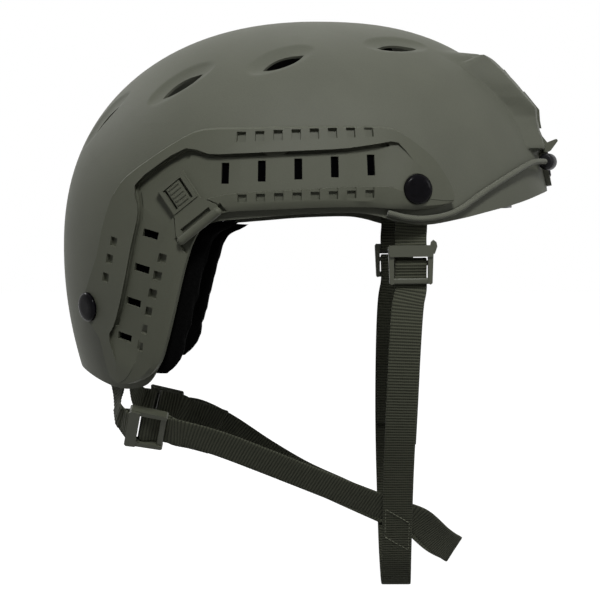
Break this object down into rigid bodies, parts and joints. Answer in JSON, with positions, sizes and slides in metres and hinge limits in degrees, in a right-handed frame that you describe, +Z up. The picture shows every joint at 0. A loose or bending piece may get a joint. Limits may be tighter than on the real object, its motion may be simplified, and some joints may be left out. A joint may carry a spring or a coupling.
{
  "type": "combat helmet",
  "caption": "High-cut helmet with slotted side rails, front shroud, elastic cords, padded liner, dial-fit nape cradle and webbing chin harness with ladder buckles.",
  "frame": {"origin": "the highest point of the wearer's head, where it meets the crown pad, on the helmet's mid-plane", "axes": "+X towards the wearer's front, +Y towards the wearer's left, +Z up towards the crown"},
  "size_m": [0.2667, 0.2272, 0.309],
  "materials": {
    "shell_plastic": "sand-textured matt olive drab, moulded",
    "rail_plastic": "fine-grained matt olive drab, moulded",
    "black_metal": "black coated steel",
    "cord": "elastic core in a braided olive cover",
    "black_plastic": "matt black, moulded",
    "padding": "black foam pad in a knitted cover",
    "loop_webbing": "ribbed woven webbing, olive drab",
    "strap_webbing": "ribbed woven webbing, olive drab",
    "buckle_plastic": "matt olive drab, moulded"
  },
  "bodies": {
    "helmet": {"shell": "shell_plastic", "right_rail": "rail_plastic", "left_rail": "rail_plastic", "front_bolts": "black_metal", "rear_bolts": "black_metal", "front_bolt_nuts": "black_metal", "rear_bolt_nuts": "black_metal", "shroud": "rail_plastic", "shroud_screws": "black_metal", "shroud_nuts": "black_metal", "right_bungee": "cord", "left_bungee": "cord", "right_cord_bead": "black_plastic", "left_cord_bead": "black_plastic", "crown_pad": "padding", "front_pad": "padding", "rear_pad": "padding", "right_side_pad": "padding", "left_side_pad": "padding", "right_ear_pad": "padding", "left_ear_pad": "padding", "headband": "black_plastic", "brow_pad": "padding", "right_front_loop": "loop_webbing", "left_front_loop": "loop_webbing", "right_rear_loop": "loop_webbing", "left_rear_loop": "loop_webbing", "chin_strap": "strap_webbing", "nape_strap": "strap_webbing"},
    "right_clip": {"right_strap_clip": "rail_plastic"},
    "left_clip": {"left_strap_clip": "rail_plastic"},
    "cradle": {"nape_cradle": "black_plastic", "nape_pad": "padding"},
    "dial": {"dial_knob": "black_plastic"},
    "buckle_right_front": {"right_front_buckle": "buckle_plastic"},
    "buckle_left_front": {"left_front_buckle": "buckle_plastic"},
    "buckle_right_rear": {"right_rear_buckle": "buckle_plastic"},
    "buckle_left_rear": {"left_rear_buckle": "buckle_plastic"}
  },
  "joints": [
    {"name": "right_clip_flex", "type": "hinge", "parent": "helmet", "child": "right_clip", "pos_m": [-0.06479, -0.09856, -0.0656], "axis": [-0.7595, 0.2506, -0.6003], "range_deg": [0, 6], "stiffness_Nm_per_rad": 0.15},
    {"name": "left_clip_flex", "type": "hinge", "parent": "helmet", "child": "left_clip", "pos_m": [-0.06479, 0.09856, -0.0656], "axis": [0.7595, 0.2506, 0.6003], "range_deg": [0, 6], "stiffness_Nm_per_rad": 0.15},
    {"name": "cradle_slide", "type": "slide", "parent": "helmet", "child": "cradle", "axis": [0.725, 0, 0.6887], "range_m": [0, 0.012]},
    {"name": "dial_spin", "type": "hinge", "parent": "cradle", "child": "dial", "pos_m": [-0.111, 0, -0.147], "axis": [-1, 0, 0], "range_deg": [0, 180]},
    {"name": "right_front_buckle_tilt", "type": "hinge", "parent": "helmet", "child": "buckle_right_front", "pos_m": [0.05592, -0.08865, -0.0998], "axis": [-1, 0.0003, -0.01], "range_deg": [0, 5]},
    {"name": "left_front_buckle_tilt", "type": "hinge", "parent": "helmet", "child": "buckle_left_front", "pos_m": [0.05592, 0.08865, -0.0998], "axis": [1, 0.0003, 0.01], "range_deg": [0, 5]},
    {"name": "right_rear_buckle_tilt", "type": "hinge", "parent": "helmet", "child": "buckle_right_rear", "pos_m": [-0.08765, -0.065, -0.19077], "axis": [-0.1846, 0.5185, -0.8349], "range_deg": [0, 5]},
    {"name": "left_rear_buckle_tilt", "type": "hinge", "parent": "helmet", "child": "buckle_left_rear", "pos_m": [-0.08765, 0.065, -0.19077], "axis": [0.1846, 0.5185, 0.8349], "range_deg": [0, 5]}
  ],
  "couplings": [
    {"joint": "dial_spin", "follows": "cradle_slide", "rad_per_m": 261.7}
  ]
}
